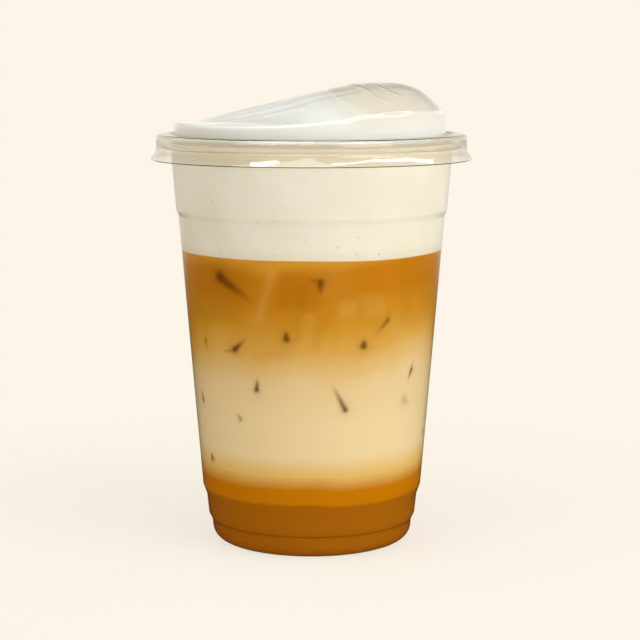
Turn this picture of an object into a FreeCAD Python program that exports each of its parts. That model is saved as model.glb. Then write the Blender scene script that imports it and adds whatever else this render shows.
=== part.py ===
import FreeCAD, Part
import math
import os

# An iced vanilla latte in its clear cold cup, with a clear sip-through lid that has no straw hole.
# Millimetres. The origin is the centre of the foot ring's contact plane, +Z is up the cup's axis,
# and the lid's raised spout is on the +X side. The whole part is mirrored across the XZ plane.

# ---- driving dimensions -------------------------------------------------------------------

SHEET = 0.5             # wall of the thermoformed cup
LID_SHEET = 0.45        # wall of the thermoformed lid

# Cup: foot, two stacking steps near the base, one near the mouth, and a rolled rim.
FLOOR_R, FLOOR_Z = 23.7, 3.2        # flat middle of the pushed-up base
FOOT_IN_R = 26.2                    # inner edge of the foot ring
FLOOR_ROUND = 0.8                   # soft corners of the pushed-up base
FOOT_R, FOOT_CORNER = 32.2, 4.6     # foot ring's outside, and the round of its corner
FOOT_WALL_R, FOOT_WALL_Z = 32.6, 6.2
STEP_LOW = ((33.75, 8.6), (34.4, 14.9))      # short drum between the two lower steps
BODY_BOTTOM = (35.6, 18.1)                   # where the long straight taper begins
BODY_TOP = (42.85, 106.0)                    # where it meets the step under the mouth
MOUTH_BOTTOM = (43.55, 107.6)
BODY_ROUND, MOUTH_ROUND = 2.5, 0.8           # soft corners where the long taper begins and ends
STEP_ROUNDS = (0.8, 1.0)                     # soft corners of the lower steps
RIM_CENTRE = (46.95, 129.45)                 # centre of the rolled rim's section
RIM_ROLL = 2.1                               # its outside radius, so the rim is 98 mm across
RIM_TUCK_DEG = -125.0                        # how far the roll turns under

# Lid: skirt, snap channel over the rim, narrow gutter, drum and spout.
SKIRT_TIP = (51.55, 124.0)
CHANNEL_R, CHANNEL_Z = 49.7, 127.0           # foot of the channel's outer wall
CHANNEL_DROP, CREST_R = 0.35, 1.1            # channel's edge lies below the crest, with this round
CHANNEL_ROUND = 0.6                          # round between the channel's wall and the skirt
GUTTER_Z = 129.0                             # floor of the gutter between rim and drum
DRUM_X = -0.5                                # the drum stands back from the lip side
DRUM_R, DRUM_Z = 43.5, 132.3                 # drum's outside radius at the height of the crest
DRUM_DRAFT_DEG = 2.5
SHOULDER_ROUND = 1.2                         # round between the drum's wall and its top

# Height of the drum's shoulder along X, and how far the spout swells above it along X.
SHOULDER = ((-46.0, 135.6), (-20.0, 135.6), (-5.0, 136.1), (9.0, 137.2), (20.0, 139.3), (29.0, 139.6),
            (46.0, 137.4))
SWELL = ((-46.0, 0.0), (-38.0, 0.6), (-31.0, 2.2), (-15.0, 5.4), (0.0, 8.6), (12.0, 9.7), (24.0, 9.1),
         (36.0, 11.6), (46.0, 11.0))
TAIL_X, TAIL_W, TAIL_SPREAD = -35.0, 9.0, 0.85      # the spout's flanks spread out from its tail
EDGE_POWER = 4                                      # how late the swell rolls off towards the wall

SIP_X, SIP_LENGTH, SIP_WIDTH = 27.0, 14.0, 10.0     # sip hole in the spout's top
SIP_TAPER = 0.4                                     # its narrow end against its wide end
VENT_AT, VENT_R = (-38.0, 0.0), 0.5                 # pin hole that lets air in

# Contents: levels where one layer meets the next.
BASE_TOP, MILK_TOP, COFFEE_TOP = 27.4, 65.7, 94.7
FOAM_NECK_Z = 128.55                                # foam fills the cup up to the gutter's underside
FOAM_REST, FOAM_HEAP = 139.8, 12.4                  # foam's level under the spout, and its heap behind it
HEAP_FROM, HEAP_TO = -8.0, 18.0                     # where along X the heap falls to that level
FOAM_CROWN = 0.0004                                 # the foam's surface falls off sideways, per mm squared

GRID_HALF, GRID_STEPS = 46.0, 24                    # patch of surface that the spout is trimmed from
BEYOND = 60.0                                       # cutting shapes reach this far past the part


# ---- small helpers ------------------------------------------------------------------------

def point(radius, height):
    """A point of a section, in the XZ plane."""
    return FreeCAD.Vector(radius, 0.0, height)


def rounded_path(corners):
    """A wire through (radius, height, round) corners, each turned by a tangent arc of that round."""
    edges = []
    start = point(*corners[0][:2])
    for before, corner, after in zip(corners, corners[1:], corners[2:]):
        here = point(*corner[:2])
        back = (point(*before[:2]) - here).normalize()
        ahead = (point(*after[:2]) - here).normalize()
        half_turn = 0.5 * back.getAngle(ahead)
        reach = corner[2] / math.tan(half_turn)
        if corner[2] == 0:
            edges.append(Part.LineSegment(start, here).toShape())
            start = here
            continue
        to_middle = corner[2] / math.sin(half_turn) - corner[2]
        middle = here + (back + ahead).normalize() * to_middle
        leave = here + ahead * reach
        edges.append(Part.LineSegment(start, here + back * reach).toShape())
        edges.append(Part.Arc(here + back * reach, middle, leave).toShape())
        start = leave
    edges.append(Part.LineSegment(start, point(*corners[-1][:2])).toShape())
    return edges


def arc_about(centre, radius, start_deg, end_deg):
    """An arc of a section about a centre, from one angle to another."""
    ends = []
    for angle in (start_deg, 0.5 * (start_deg + end_deg), end_deg):
        turn = math.radians(angle)
        ends.append(point(centre[0] + radius * math.cos(turn), centre[1] + radius * math.sin(turn)))
    return Part.Arc(*ends).toShape()


def join_line(edge_a, edge_b):
    """The straight edge from the end of one edge to the start of the next."""
    return Part.LineSegment(edge_a.lastVertex(True).Point, edge_b.firstVertex(True).Point).toShape()


def spin(edges):
    """The solid of revolution of a closed section."""
    face = Part.Face(Part.Wire(edges))
    return face.revolve(FreeCAD.Vector(), FreeCAD.Vector(0, 0, 1), 360.0)


def along(knots, x):
    """A smooth curve through (x, value) knots, level past its ends."""
    if x <= knots[0][0]:
        return knots[0][1]
    if x >= knots[-1][0]:
        return knots[-1][1]
    for index in range(len(knots) - 1):
        if x <= knots[index + 1][0]:
            break
    x0, v0 = knots[index]
    x1, v1 = knots[index + 1]
    slopes = []
    for side in (index, index + 1):
        low = knots[max(side - 1, 0)]
        high = knots[min(side + 1, len(knots) - 1)]
        slopes.append((high[1] - low[1]) / (high[0] - low[0]))
    span = x1 - x0
    t = (x - x0) / span
    bend_in = t * (1 - t) ** 2 * span * slopes[0] - t ** 2 * (1 - t) * span * slopes[1]
    return v0 + (v1 - v0) * t * t * (3 - 2 * t) + bend_in


def smooth_fall(x, start, end):
    """1 before start, 0 after end, with a smooth fall between."""
    t = min(max((x - start) / (end - start), 0.0), 1.0)
    return 1.0 - t * t * (3 - 2 * t)


# ---- cup ----------------------------------------------------------------------------------

def wall_radius(height):
    """Outside radius of the cup's wall between the foot and the rim."""
    stations = ((FOOT_WALL_R, FOOT_WALL_Z), *STEP_LOW, BODY_BOTTOM, BODY_TOP, MOUTH_BOTTOM, mouth_top())
    for (r0, z0), (r1, z1) in zip(stations, stations[1:]):
        if height <= z1:
            return r0 + (r1 - r0) * (height - z0) / (z1 - z0)
    return stations[-1][0]


def mouth_top():
    """Where the wall runs into the rolled rim."""
    return (RIM_CENTRE[0] - RIM_ROLL + SHEET, RIM_CENTRE[1])


def cup_side(inset, stop=None):
    """The cup's section from its axis up to the rim or to a stop, drawn inset from its outside."""
    floor = [(0.0, FLOOR_Z + inset, 0), (FLOOR_R - inset, FLOOR_Z + inset, FLOOR_ROUND),
             (FOOT_IN_R - 0.4 * inset, inset, FLOOR_ROUND), (FOOT_R - inset, inset, FOOT_CORNER - inset),
             (FOOT_WALL_R - inset, FOOT_WALL_Z, MOUTH_ROUND)]
    rise = [(*STEP_LOW[0], STEP_ROUNDS[0]), (*STEP_LOW[1], STEP_ROUNDS[1]), (*BODY_BOTTOM, BODY_ROUND),
            (*BODY_TOP, MOUTH_ROUND), (*MOUTH_BOTTOM, MOUTH_ROUND)]
    rise = [(r - inset, z, turn) for r, z, turn in rise]
    top = mouth_top()
    if stop is None:
        return rounded_path(floor + rise + [(top[0] - inset, top[1], 0)])
    kept = [corner for corner in rise if corner[1] < stop]
    return rounded_path(floor + kept + [(wall_radius(stop) - inset, stop, 0)])


def make_cup():
    outside = cup_side(0.0)
    inside = cup_side(SHEET)
    roll_in = arc_about(RIM_CENTRE, RIM_ROLL - SHEET, 180.0, RIM_TUCK_DEG)
    roll_out = arc_about(RIM_CENTRE, RIM_ROLL, 180.0, RIM_TUCK_DEG)
    ends = [roll.lastVertex(True).Point for roll in (roll_in, roll_out)]
    lip = Part.LineSegment(*ends).toShape()
    axis = Part.LineSegment(point(0, FLOOR_Z), point(0, FLOOR_Z + SHEET)).toShape()
    return spin(outside + [roll_in, lip, roll_out] + inside[::-1] + [axis])


# ---- lid ----------------------------------------------------------------------------------

def spout_height(x, y, sheet=0.0):
    """Height of the lid's top over a point in plan; sheet lowers it to the underside."""
    shoulder = along(SHOULDER, x)
    flank = max(TAIL_W + TAIL_SPREAD * (x - TAIL_X), 4.0)
    out = math.hypot(x - DRUM_X, y) / DRUM_R
    swell = along(SWELL, x) * math.exp(-(y / flank) ** 2) * (1.0 - out ** EDGE_POWER)
    return shoulder + swell - sheet


def foam_height(x, y):
    """Height of the foam's free surface under the spout: a heap against the lid, then a level."""
    return FOAM_REST + FOAM_HEAP * smooth_fall(x, HEAP_FROM, HEAP_TO) - FOAM_CROWN * y * y


def block_under(height_at):
    """The solid under a smooth surface of heights, down well below the drum."""
    span = 2 * GRID_HALF / GRID_STEPS
    places = [span * step - GRID_HALF for step in range(GRID_STEPS + 1)]
    rows = [[FreeCAD.Vector(x, y, height_at(x, y)) for y in places] for x in places]
    surface = Part.BSplineSurface()
    surface.interpolate(rows)
    return surface.toShape().extrude(FreeCAD.Vector(0, 0, -BEYOND))


def drum_core(inset):
    """The drum as a solid, its wall and top both set in by inset, from the gutter's floor up."""
    slope = math.tan(math.radians(DRUM_DRAFT_DEG))
    bottom = GUTTER_Z - LID_SHEET
    foot_r = DRUM_R - inset + (DRUM_Z - bottom) * slope
    cone = Part.makeCone(foot_r, foot_r - BEYOND * slope, BEYOND, FreeCAD.Vector(DRUM_X, 0, bottom))
    core = cone.common(block_under(lambda x, y: spout_height(x, y, inset))).Solids[0]
    shoulder = [edge for edge in core.Edges
                if edge.BoundBox.ZMin > DRUM_Z and edge.BoundBox.XLength > 0.5 * DRUM_R]
    return core.makeFillet(SHOULDER_ROUND - 0.5 * inset, shoulder)


def lid_ring_path(under):
    """Skirt, channel and gutter, from the skirt's tip inwards: the top side, or the side under it."""
    sheet = LID_SHEET if under else 0.0
    roll = RIM_ROLL if under else RIM_ROLL + LID_SHEET
    crest_z = RIM_CENTRE[1] + roll
    outer = [(SKIRT_TIP[0] - sheet, SKIRT_TIP[1], 0), (CHANNEL_R - sheet, CHANNEL_Z, CHANNEL_ROUND),
             (CHANNEL_R - sheet, crest_z - CHANNEL_DROP, CREST_R), (RIM_CENTRE[0], crest_z, 0)]
    crest = arc_about(RIM_CENTRE, roll, 90.0, 180.0)
    inner_r = RIM_CENTRE[0] - roll
    gutter_z = GUTTER_Z - sheet
    inside_drum = DRUM_R - 2 * LID_SHEET
    gutter = [(inner_r, RIM_CENTRE[1], 0), (inner_r, gutter_z, 0), (inside_drum, gutter_z, 0)]
    return rounded_path(outer) + [crest] + rounded_path(gutter)


def make_lid():
    top = lid_ring_path(under=False)
    under = lid_ring_path(under=True)
    tip = Part.LineSegment(under[0].firstVertex(True).Point, top[0].firstVertex(True).Point).toShape()
    hem = Part.LineSegment(top[-1].lastVertex(True).Point, under[-1].lastVertex(True).Point).toShape()
    ring = spin([tip] + top + [hem] + under[::-1])
    lid = ring.fuse(drum_core(0.0)).cut(drum_core(LID_SHEET))
    return lid.cut(sip_hole()).cut(vent_hole()).removeSplitter()


def sip_hole():
    """A rounded drop in plan: a wide round end at the lip side and a narrow one towards the middle."""
    wide = 0.5 * SIP_WIDTH
    narrow = SIP_TAPER * wide
    lip_side = SIP_X + 0.5 * SIP_LENGTH - wide
    inner_side = SIP_X - 0.5 * SIP_LENGTH + narrow
    touch = 90.0 + math.degrees(math.asin((wide - narrow) / (lip_side - inner_side)))
    arcs = []
    for centre, radius, angles in ((lip_side, wide, (-touch, 0.0, touch)),
                                   (inner_side, narrow, (touch, 180.0, 360.0 - touch))):
        places = [FreeCAD.Vector(centre + radius * math.cos(math.radians(angle)),
                                 radius * math.sin(math.radians(angle)), FOAM_REST) for angle in angles]
        arcs.append(Part.Arc(*places).toShape())
    flanks = [join_line(arcs[0], arcs[1]), join_line(arcs[1], arcs[0])]
    plan = Part.Face(Part.Wire([arcs[0], flanks[0], arcs[1], flanks[1]]))
    return plan.extrude(FreeCAD.Vector(0, 0, BEYOND))


def vent_hole():
    return Part.makeCylinder(VENT_R, BEYOND, FreeCAD.Vector(*VENT_AT, DRUM_Z))


# ---- contents -----------------------------------------------------------------------------

def cup_fill(bottom, top):
    """What fills the cup from one height to another; bottom None starts at the cup's floor."""
    side = cup_side(SHEET, top)
    level = Part.LineSegment(point(wall_radius(top) - SHEET, top), point(0, top)).toShape()
    axis = Part.LineSegment(point(0, top), point(0, FLOOR_Z + SHEET)).toShape()
    full = spin(side + [level, axis])
    if bottom is None:
        return full
    return full.cut(Part.makeCylinder(BEYOND, bottom))


def make_foam():
    neck = cup_fill(COFFEE_TOP, FOAM_NECK_Z)
    cap = drum_core(LID_SHEET).common(block_under(foam_height))
    return neck.fuse(cap).removeSplitter()


def save(name, shape):
    """Write one sub-part, which is one closed solid."""
    solid = shape.Solids[0] if shape.Solids else Part.makeSolid(shape)
    if len(shape.Solids) > 1 or not solid.isValid():
        print(name, "is not one valid solid:", len(shape.Solids))
    solid.exportStep("parts/" + name + ".step")
    box = solid.optimalBoundingBox()
    print(f"{name:14s} {solid.Volume / 1000:8.2f} ml  z {box.ZMin:.2f} to {box.ZMax:.2f}"
          f"  x {box.XMin:.2f} to {box.XMax:.2f}")


os.makedirs("parts", exist_ok=True)
save("cup", make_cup())
save("lid", make_lid())
save("drink_base", cup_fill(None, BASE_TOP))
save("drink_milk", cup_fill(BASE_TOP, MILK_TOP))
save("drink_coffee", cup_fill(MILK_TOP, COFFEE_TOP))
save("foam", make_foam())
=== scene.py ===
import math

import bmesh
import bpy
import numpy as np
from mathutils import Matrix, Vector, noise


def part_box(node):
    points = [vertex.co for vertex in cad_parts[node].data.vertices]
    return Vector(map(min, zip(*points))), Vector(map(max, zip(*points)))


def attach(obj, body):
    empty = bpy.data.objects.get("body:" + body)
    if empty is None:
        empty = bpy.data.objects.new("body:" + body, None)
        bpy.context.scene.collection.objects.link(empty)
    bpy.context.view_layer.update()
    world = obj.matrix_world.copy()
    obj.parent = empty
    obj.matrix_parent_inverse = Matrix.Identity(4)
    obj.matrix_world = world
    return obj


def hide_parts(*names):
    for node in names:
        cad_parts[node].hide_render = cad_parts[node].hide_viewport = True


# An iced vanilla latte: a clear cold cup with its layered drink, the ice that touches the wall,
# a deep cream foam, and a clear sip lid that the foam fills up to the spout.
# Sections are written in millimetres and become metres when a mesh is made.

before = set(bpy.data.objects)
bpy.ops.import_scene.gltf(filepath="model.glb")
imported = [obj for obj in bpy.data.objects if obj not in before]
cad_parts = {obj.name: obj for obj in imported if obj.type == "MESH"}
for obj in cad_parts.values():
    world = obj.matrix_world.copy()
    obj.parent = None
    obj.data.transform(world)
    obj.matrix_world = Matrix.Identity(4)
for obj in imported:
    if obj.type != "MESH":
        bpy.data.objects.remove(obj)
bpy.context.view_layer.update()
MM = 0.001

# ---- sizes ----------------------------------------------------------------------------------

# Levels of the layers, from the frame.
BASE_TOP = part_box("drink_base")[1].z / MM
MILK_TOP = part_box("drink_milk")[1].z / MM
COFFEE_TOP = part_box("drink_coffee")[1].z / MM
SHEET, LID_SHEET = 0.5, 0.45
REACH = 0.22                    # how far the contents reach into the plastic, so that no air shows
WALL_TAPER = 0.08               # how far the wall's outward direction dips, as a slope

# Meshes: length of their steps up the cup, the drink's side, its discs and the skins of lid and foam, then
# how many go round, and rows over the drum's top and down its wall.
CUP_STEP, DRINK_STEP, DISC_STEP, SKIN_STEP = 2.0, 0.45, 4.0, 0.8
CUP_ROUND, DRINK_ROUND, LID_ROUND, FOAM_ROUND = 320, 600, 320, 384
LID_ROWS, FOAM_ROWS = (58, 6), (60, 8)

# Cup: pushed-up floor, foot, two low stacking steps, long taper, step under the mouth, rolled rim.
FLOOR_R, FLOOR_Z, FLOOR_ROUND = 23.7, 3.2, 0.8
FOOT_IN_R, FOOT_R, FOOT_CORNER = 26.2, 32.2, 4.6
WALL = ((32.6, 6.2, 0.8), (33.75, 8.6, 0.8), (34.4, 14.9, 1.0), (35.6, 18.1, 2.5),
        (42.85, 106.0, 0.8), (43.55, 107.6, 0.8))
RIM_CENTRE, RIM_ROLL, RIM_TUCK = (46.95, 129.45), 2.1, -125.0
MOUTH_R = RIM_CENTRE[0] - RIM_ROLL + SHEET

# Lid: skirt, snap channel over the rim, gutter, drum and spout.
SKIRT_TIP = (51.55, 124.0)
CHANNEL_R, CHANNEL_Z, CHANNEL_ROUND = 49.7, 127.0, 0.6
SKIRT_BOW, SKIRT_INWARD = 0.13, (-0.85, -0.5)        # how far the skirt bows in at its middle, and which way
SKIRT_FLARE = ((CHANNEL_R + SKIRT_TIP[0]) / 2 + SKIRT_BOW * SKIRT_INWARD[0],
               (CHANNEL_Z + SKIRT_TIP[1]) / 2 + SKIRT_BOW * SKIRT_INWARD[1])
CREST_Z = RIM_CENTRE[1] + RIM_ROLL + LID_SHEET
CHANNEL_DROP, CREST_ROUND = 0.35, 1.1
GUTTER_Z, GUTTER_ROUND = 129.0, 0.3
DRUM_X, DRUM_R, DRUM_Z, DRUM_DRAFT = -0.5, 43.5, 132.3, math.tan(math.radians(2.5))
DRUM_EDGE_Z = 137.0             # where the drum's top is measured across
SHOULDER_ROUND = 1.2
SHOULDER = ((-46.0, 135.6), (-20.0, 135.6), (-5.0, 136.1), (9.0, 137.2), (20.0, 139.3), (29.0, 139.6),
            (46.0, 137.4))
SWELL = ((-46.0, 0.0), (-38.0, 0.6), (-31.0, 2.2), (-15.0, 5.4), (0.0, 8.6), (12.0, 9.7), (24.0, 9.1),
         (36.0, 11.6), (46.0, 11.0))
TAIL_X, TAIL_W, TAIL_SPREAD, EDGE_POWER = -35.0, 9.0, 0.85, 4
SIP_X, SIP_LENGTH, SIP_WIDTH, SIP_TAPER = 27.0, 14.0, 10.0, 0.4

# Folds pressed into the spout, each from one place in plan to another: start, end, height, width.
FOLDS = (((-34, 3), (-6, 4), 0.16, 1.3), ((-33, 7), (-7, 10), 0.2, 1.5), ((-32, 11), (-8, 16), 0.22, 1.5),
         ((-24, 20), (-3, 25), 0.22, 1.4), ((-3, 25), (6, 39), 0.16, 1.2), ((-16, 20), (14, 18), -0.15, 2.5),
         ((12, 3), (19, 25), 0.22, 0.9), ((19, 25), (27, 32), 0.18, 0.9), ((19, 6), (24, 19), 0.2, 0.8),
         ((24, 19), (30, 24), 0.16, 0.8))
FOLD_DEPTH = 1.6                # all of them together

# Foam: level under the spout, the heap behind it, and its uneven top.
FOAM_NECK_Z = 128.55
FOAM_REST, FOAM_HEAP, FOAM_CROWN, FOAM_SINK = 139.8, 12.4, 0.0004, 0.3
HEAP_FROM, HEAP_TO = -8.0, 18.0
FOAM_SHADE_DEPTH = 7.0           # over this depth under its free surface the foam's painted grey shade gives way to white

# Where ice leans on the wall: azimuth (0 faces front, + to the right) and height of each contact, how
# far its corner stands out of the liquid, the block's size, the width and darkness of the mark it leaves,
# and the edges that run on from it as tails: lean (0 is up, + to the right) and length. The block turns
# with the first.
ICE = (
    (-43, 89, 0.07, 15, 1.3, 0.95, (120, 13)),
    (4, 88.5, 0.07, 13, 0.8, 0.9, (178, 4), (-72, 5)),
    (-11, 71, 0.07, 12, 0.75, 0.95, (0, 3)),
    (-37, 66.5, 0.05, 13, 0.7, 0.95, (50, 6), (-102, 5)),
    (-57, 68, -0.2, 11, 0.45, 0.6, (172, 3)),
    (36, 76, -0.1, 13, 0.6, 0.65, (-135, 6), (3, 4)),
    (24, 68.5, 0.07, 13, 0.85, 0.95, (5, 2), (-90, 2), (100, 2)),
    (54, 59, 0.0, 11, 0.45, 0.9, (-155, 4), (12, 3)),
    (16, 48.5, 0.05, 14, 0.6, 0.9, (-28, 9)),
    (50, 49.5, -0.6, 10, 1.0, 0.3, (124, 3)),
    (76, 36.5, -0.1, 12, 0.5, 0.75, (174, 2)),
    (-26, 54.5, 0.03, 12, 0.6, 0.95, (8, 4), (-150, 2)),
    (-65, 48, -0.05, 11, 0.45, 0.9, (-12, 4)),
    (-36, 44.5, -0.3, 10, 0.5, 0.6, (-30, 2)),
    (-60, 29.5, 0.0, 11, 0.55, 0.9, (-15, 2), (155, 2)),
)
TAIL_SHARES = (1.0, 0.65, 0.65)      # the later tails of a mark are fainter than the first
STAIN_SPREAD = 1.5                   # how softly the marks fade into the liquid
BACK_ICE, BACK_FACETS, ICE_SEED = 16, 26, 7
BACK_ICE_ARC, BACK_ICE_LEVELS, BACK_FACET_ARC = (92, 172), (31, 57), (80, 200)      # starts and spans
ICE_ROUND, USUAL_ICE = 1.1, 13.0     # round of the melted edges on a block of this size
ICE_TILT, ICE_ROLL = 14.0, 14.0      # degrees a block's edge leads in from the wall, and its most roll
STAIN_REACH, FACET_REACH = (16, 14), 30              # beyond these a mark or a facet changes nothing
FACET_R, CORE_R = 40.0, 28           # where the facets lie, and the radius inside which nothing is painted

# Faces of the ice seen dimly through the liquid, as painted light and shade: tone (+ lit and milkier, -
# shaded and clearer), soft edge in millimetres, azimuth and height of the middle, width in degrees, height
# in millimetres, and slant of the top in degrees.
FACETS = (
    (0.75, 0.9, -20, 84, 4, 16, 8),
    (0.35, 3.0, -34, 71, 32, 9, 8),
    (0.55, 0.5, 16, 80, 8, 5, 0),
    (0.45, 0.8, -1, 74, 5, 11, 2),
    (0.45, 1.2, 28, 81, 12, 7, -4),
    (0.3, 0.8, 54, 80, 4, 7, 0),
    (0.8, 0.8, 23, 67, 8, 2, 0),
    (0.6, 0.8, -4, 62, 7, 2, 0),
    # painted shade over the cup's darker left side
    (-0.5, 2.0, -46, 84, 36, 19, 12),
    (-0.75, 1.4, -8, 86, 11, 12, 2),
    (-0.7, 0.9, -1, 84, 8, 9, 0),
    (-0.35, 0.7, -6, 74, 4, 9, -3),
    (-0.35, 0.7, 3, 73, 6, 11, 5),
    (-0.4, 2.5, 58, 83, 32, 19, 0),
    (-0.35, 1.5, -18, 66, 19, 4, 0),
    (-0.25, 1.0, 29, 73, 5, 5, 0),
)

# Where the boundaries of the layers stand higher or lower round the cup: azimuth, half width, rise.
MILK_DRIFT = ((55, 28, 4), (-20, 12, -2), (-45, 25, 1), (-115, 15, 1), (-150, 15, -2), (140, 18, -2))
AMBER_DRIFT = ((110, 50, 2.2), (0, 8, 0.5), (-42, 12, 0.4))
MILK_DRIFT_FROM, AMBER_DRIFT_TO = (40, 56), (34, 50)

BUBBLES, BUBBLE_SEED, BUBBLE_BAND = 90, 21, 26.0
BUBBLE_SIZES = (0.12, 0.32)


# ---- node trees -----------------------------------------------------------------------------

class Wire:
    """A node's output. Sums on it add Math nodes to the same tree."""

    def __init__(self, graph, socket):
        self.graph, self.socket = graph, socket

    def out(self, name):
        return Wire(self.graph, self.socket.node.outputs[name])

    def math(self, operation, *others):
        """A Math node with this output as its first value."""
        return self.graph.add("ShaderNodeMath", dict(enumerate((self, *others))), operation=operation)

    def __add__(self, other):
        return self.math("ADD", other)

    def __sub__(self, other):
        return self.math("SUBTRACT", other)

    def __rsub__(self, other):
        return self.graph.add("ShaderNodeMath", {0: other, 1: self}, operation="SUBTRACT")

    def __mul__(self, other):
        return self.math("MULTIPLY", other)

    def __truediv__(self, other):
        return self.math("DIVIDE", other)

    __radd__, __rmul__ = __add__, __mul__

    def ramp(self, start, end):
        """0 before start and 1 after end, smooth between."""
        values = {"Value": self, "From Min": start, "From Max": end}
        return self.graph.add("ShaderNodeMapRange", values, interpolation_type="SMOOTHSTEP")


class Graph:
    """A node tree written as calls: a node's settings first, then its values or links."""

    def __init__(self, tree):
        self.tree = tree

    def add(self, kind, values=None, stops=None, **settings):
        node = self.tree.nodes.new(kind)
        for name, value in settings.items():
            setattr(node, name, value)
        if stops:
            ramp = node.color_ramp
            while len(ramp.elements) < len(stops):
                ramp.elements.new(1.0)
            for element, (place, colour) in zip(ramp.elements, stops):
                element.position, element.color = place, colour
        for name, value in (values or {}).items():
            socket = self.find(node.inputs, name)
            if isinstance(value, Wire):
                self.tree.links.new(value.socket, socket)
            else:
                socket.default_value = value
        shown = [socket for socket in node.outputs if socket.enabled]
        return Wire(self, shown[0]) if shown else node

    @staticmethod
    def find(sockets, name):
        if isinstance(name, int):
            return sockets[name]
        return next(socket for socket in sockets if socket.enabled and socket.name == name)

    def mix(self, factor, first, second):
        return self.add("ShaderNodeMix", {"Factor": factor, "A": first, "B": second}, data_type="RGBA")

    def place(self):
        return self.add("ShaderNodeTexCoord").out("Object")

    def rise(self):
        return self.add("ShaderNodeSeparateXYZ", {"Vector": self.place()}).out("Z")

    def stored(self, name):
        """What the script has stored on the mesh under this name."""
        return self.add("ShaderNodeAttribute", attribute_name=name).out("Fac")

    def mottle(self, scale, detail=2.0, stretch=(1, 1, 1)):
        """Noise on the piece's own coordinates, scale in cells per metre."""
        place = self.add("ShaderNodeMapping", {"Vector": self.place(), "Scale": stretch})
        return self.add("ShaderNodeTexNoise", {"Vector": place, "Scale": scale, "Detail": detail})

    def bump(self, height, strength, distance):
        return self.add("ShaderNodeBump", {"Height": height, "Strength": strength, "Distance": distance})

    def coat(self, **values):
        """The main shader, its sockets written with _ for a space."""
        sockets = {name.replace("_", " "): value for name, value in values.items()}
        return self.add("ShaderNodeBsdfPrincipled", sockets)

    def seen(self):
        """1 for what the camera sees, straight or through plastic."""
        path = self.add("ShaderNodeLightPath")
        return path.out("Is Camera Ray").math("MAXIMUM", path.out("Is Transmission Ray"))


def shader(name):
    material = bpy.data.materials.new(name)
    material.use_nodes = True
    material.node_tree.nodes.clear()
    return material, Graph(material.node_tree)


def surfaced(material, graph, surface):
    """The material, with this shader as its surface."""
    graph.add("ShaderNodeOutputMaterial", {"Surface": surface})
    return material


def colour4(red, green, blue):
    """Scene values and full alpha of a colour given in 0 to 255 screen steps."""
    steps = (channel / 255 for channel in (red, green, blue))
    return (*(s / 12.92 if s <= 0.04045 else ((s + 0.055) / 1.055) ** 2.4 for s in steps), 1.0)


def geometry_tree(name, inputs):
    """A geometry node group with named inputs; gives the graph and a wire for each input."""
    tree = bpy.data.node_groups.new(name, "GeometryNodeTree")
    for label, kind in inputs.items():
        tree.interface.new_socket(label, in_out="INPUT", socket_type=kind)
    tree.interface.new_socket("Geometry", in_out="OUTPUT", socket_type="NodeSocketGeometry")
    graph = Graph(tree)
    start = graph.add("NodeGroupInput")
    return graph, {label: start.out(label) for label in inputs}


def close_tree(graph, geometry, material):
    real = graph.add("GeometryNodeRealizeInstances", {"Geometry": geometry})
    done = graph.add("GeometryNodeSetMaterial", {"Geometry": real, "Material": material})
    graph.add("NodeGroupOutput", {"Geometry": done})
    return graph.tree


def grow(piece, tree, **values):
    """Run a geometry tree on a piece and keep the result as its plain mesh."""
    modifier = piece.modifiers.new(tree.name, "NODES")
    modifier.node_group = tree
    for item in tree.interface.items_tree:
        if item.in_out == "INPUT" and item.name in values:
            modifier[item.identifier] = values[item.name]
    settle(piece)


def settle(piece):
    """Turn a piece with modifiers into its plain, finished mesh."""
    bpy.context.view_layer.update()
    depsgraph = bpy.context.evaluated_depsgraph_get()
    finished = bpy.data.meshes.new_from_object(piece.evaluated_get(depsgraph), depsgraph=depsgraph)
    piece.modifiers.clear()
    piece.data = finished
    finished.name = piece.name


def turning_tree():
    """A section of points in the XZ plane, turned about Z."""
    graph, given = geometry_tree("Turned about the axis", {
        "Section": "NodeSocketGeometry", "Points": "NodeSocketInt", "Segments": "NodeSocketInt",
        "Material": "NodeSocketMaterial"})
    grid = graph.add("GeometryNodeMeshGrid", {
        "Size X": 1.0, "Size Y": 1.0, "Vertices X": given["Segments"] + 1, "Vertices Y": given["Points"]})
    place = graph.add("ShaderNodeSeparateXYZ", {"Vector": graph.add("GeometryNodeInputPosition")})
    turn = (place.out("X") + 0.5) * math.tau
    index = ((place.out("Y") + 0.5) * (given["Points"] - 1)).math("ROUND")
    sampled = graph.add("GeometryNodeSampleIndex", {
        "Geometry": given["Section"], "Value": graph.add("GeometryNodeInputPosition"), "Index": index},
        data_type="FLOAT_VECTOR")
    point = graph.add("ShaderNodeSeparateXYZ", {"Vector": sampled})
    radius = point.out("X")
    moved = graph.add("ShaderNodeCombineXYZ", {
        "X": radius * turn.math("COSINE"), "Y": radius * turn.math("SINE"), "Z": point.out("Z")})
    skin = graph.add("GeometryNodeSetPosition", {"Geometry": grid, "Position": moved})
    closed = graph.add("GeometryNodeMergeByDistance", {"Geometry": skin, "Distance": 1e-6})
    smooth = graph.add("GeometryNodeSetShadeSmooth", {"Geometry": closed})
    return close_tree(graph, smooth, given["Material"])


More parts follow.
